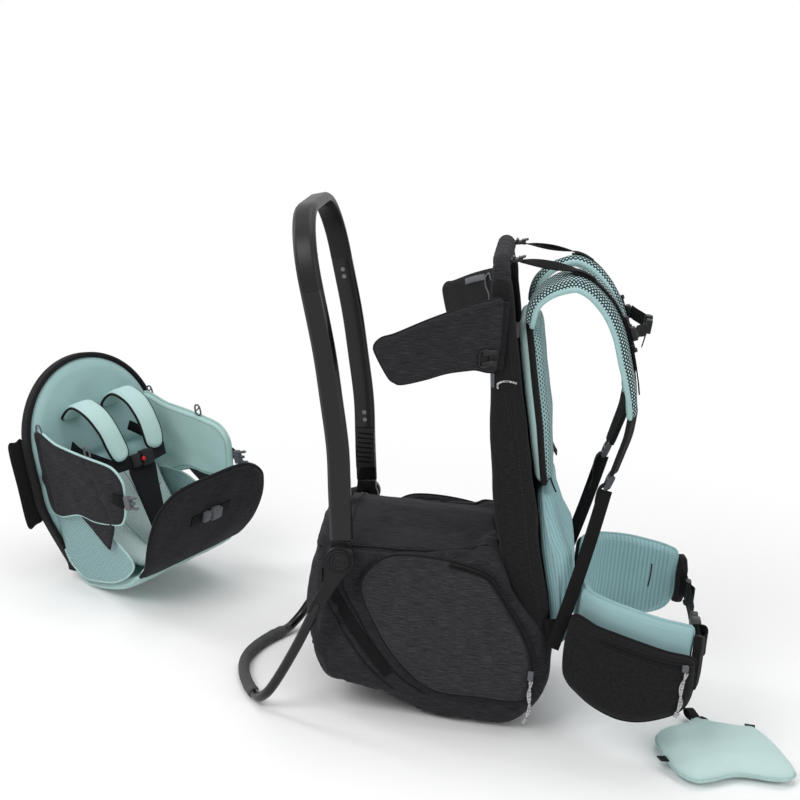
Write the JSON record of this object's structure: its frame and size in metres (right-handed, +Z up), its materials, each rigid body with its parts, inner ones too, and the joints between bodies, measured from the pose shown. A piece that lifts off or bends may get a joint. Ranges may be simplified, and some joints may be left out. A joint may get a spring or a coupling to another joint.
{
  "type": "child carrier backpack",
  "caption": "Framed child carrier backpack with rear hoop, fold-out kickstand, storage bag, padded harness, hip belt, lift-off child seat and face pad.",
  "frame": {"origin": "middle of the flat base of the storage bag, on the floor", "axes": "+X forward towards the wearer, +Y the wearer's left, +Z up"},
  "size_m": [1.3288, 0.7127, 0.76],
  "materials": {
    "heather_fabric": "dark charcoal heather weave",
    "black_fabric": "plain black woven fabric",
    "webbing": "black ribbed webbing",
    "teal_fabric": "pale teal knit over foam",
    "teal_mesh": "grey-teal spacer mesh",
    "dark_mesh": "dark dotted spacer mesh over teal",
    "gloss_black": "gloss black tube and band",
    "satin_dark": "satin dark grey plastic",
    "black_plastic": "black moulded plastic",
    "grey_plastic": "mid grey moulded plastic",
    "rubber_foot": "matte grey rubber",
    "screw_steel": "dark screw heads",
    "frame_tube": "satin aluminium tube",
    "cord": "grey and white flecked cord"
  },
  "bodies": {
    "frame": {"hoop_arch": "satin_dark", "hoop_bar_right": "gloss_black", "hoop_bar_left": "gloss_black", "hoop_screws": "screw_steel", "bar_ribs": "black_plastic", "lifter_buckles": "grey_plastic", "hub_right": "satin_dark", "hub_left": "satin_dark", "pivot_pin_right": "satin_dark", "pivot_pin_left": "satin_dark", "side_rail_right": "frame_tube", "side_rail_left": "frame_tube", "cross_bar": "frame_tube", "back_frame": "black_fabric", "back_web": "black_fabric", "post_sleeve_right": "black_fabric", "post_sleeve_left": "black_fabric", "storage_bag": "heather_fabric", "side_pocket_right": "heather_fabric", "side_pocket_left": "heather_fabric", "pocket_zips": "black_plastic", "lumbar_pad": "teal_fabric"},
    "kickstand": {"kick_arm_right": "satin_dark", "kick_arm_left": "satin_dark", "kick_tube": "gloss_black", "kick_foot": "rubber_foot"},
    "wing_right": {"wing_right": "heather_fabric"},
    "wing_left": {"wing_left": "heather_fabric"},
    "harness": {"back_pad": "teal_mesh", "yoke_plate": "black_plastic", "shoulder_strap_right": "dark_mesh", "shoulder_strap_left": "dark_mesh", "strap_end_right": "black_fabric", "strap_end_left": "black_fabric", "load_lifters": "webbing", "harness_webbing": "webbing"},
    "sternum": {"sternum_strap": "webbing", "sternum_buckle": "black_plastic"},
    "hip_right": {"hip_pad_right": "teal_fabric", "hip_pocket": "black_fabric", "hip_zip": "black_plastic", "hip_belt_right": "webbing"},
    "hip_left": {"hip_pad_left": "teal_fabric", "hip_belt_left": "webbing"},
    "pocket_slider_right": {"pocket_slider_right": "black_plastic"},
    "pocket_pull_right": {"pocket_pull_right": "cord"},
    "pocket_slider_left": {"pocket_slider_left": "black_plastic"},
    "pocket_pull_left": {"pocket_pull_left": "cord"},
    "hip_slider": {"hip_slider": "black_plastic"},
    "hip_pull": {"hip_pull": "cord"},
    "seat": {"seat_back": "teal_fabric", "seat_binding": "black_fabric", "seat_sides": "heather_fabric", "seat_bottom": "teal_fabric", "seat_front": "black_fabric", "seat_harness": "teal_fabric", "seat_hooks": "screw_steel", "seat_buckles": "grey_plastic"},
    "pillow": {"pillow_pad": "teal_fabric", "pillow_loop": "black_fabric"}
  },
  "joints": [
    {"name": "kickstand_fold", "type": "hinge", "parent": "frame", "child": "kickstand", "pos_m": [-0.216, 0, 0.258], "axis": [0, -1, 0], "range_deg": [0, 48]},
    {"name": "wing_right_swing", "type": "hinge", "parent": "frame", "child": "wing_right", "pos_m": [-0.016, -0.1294, 0.6], "axis": [0, 0, 1], "range_deg": [-22, 40]},
    {"name": "wing_left_swing", "type": "hinge", "parent": "frame", "child": "wing_left", "pos_m": [-0.016, 0.1294, 0.6], "axis": [0, 0, -1], "range_deg": [-50, 12]},
    {"name": "torso_adjust", "type": "slide", "parent": "frame", "child": "harness", "axis": [-0.1478, 0, 0.989], "range_m": [0, 0.06], "deforming": ["lifter_buckles", "load_lifters", "harness_webbing"]},
    {"name": "sternum_slide", "type": "slide", "parent": "harness", "child": "sternum", "axis": [-0.3714, 0, 0.9285], "range_m": [-0.012, 0.012]},
    {"name": "hip_right_swing", "type": "hinge", "parent": "frame", "child": "hip_right", "pos_m": [0.135, -0.104, 0.18], "axis": [0, 0, -1], "range_deg": [0, 30]},
    {"name": "hip_left_swing", "type": "hinge", "parent": "frame", "child": "hip_left", "pos_m": [0.135, 0.104, 0.18], "axis": [0, 0, 1], "range_deg": [0, 30]},
    {"name": "pocket_zip_right", "type": "slide", "parent": "frame", "child": "pocket_slider_right", "axis": [-0.3903, 0, 0.9207], "range_m": [0, 0.07]},
    {"name": "pocket_pull_right_swing", "type": "hinge", "parent": "pocket_slider_right", "child": "pocket_pull_right", "pos_m": [0.077, -0.152, 0.102], "axis": [0, 1, 0], "range_deg": [-20, 20]},
    {"name": "pocket_zip_left", "type": "slide", "parent": "frame", "child": "pocket_slider_left", "axis": [-0.3903, 0, 0.9207], "range_m": [0, 0.07]},
    {"name": "pocket_pull_left_swing", "type": "hinge", "parent": "pocket_slider_left", "child": "pocket_pull_left", "pos_m": [0.077, 0.152, 0.102], "axis": [0, 1, 0], "range_deg": [-20, 20]},
    {"name": "hip_zip_run", "type": "slide", "parent": "hip_right", "child": "hip_slider", "axis": [-0.9618, -0.222, 0.16], "range_m": [0, 0.03]},
    {"name": "hip_pull_swing", "type": "hinge", "parent": "hip_slider", "child": "hip_pull", "pos_m": [0.2911, -0.2062, 0.1676], "axis": [-0.2251, 0.9743, 0], "range_deg": [-20, 20]},
    {"name": "seat_lift", "type": "slide", "parent": "frame", "child": "seat", "axis": [0, 0, 1], "range_m": [0, 0.3]},
    {"name": "pillow_lift", "type": "slide", "parent": "frame", "child": "pillow", "axis": [0.5501, 0, 0.8351], "range_m": [0, 0.3]}
  ]
}
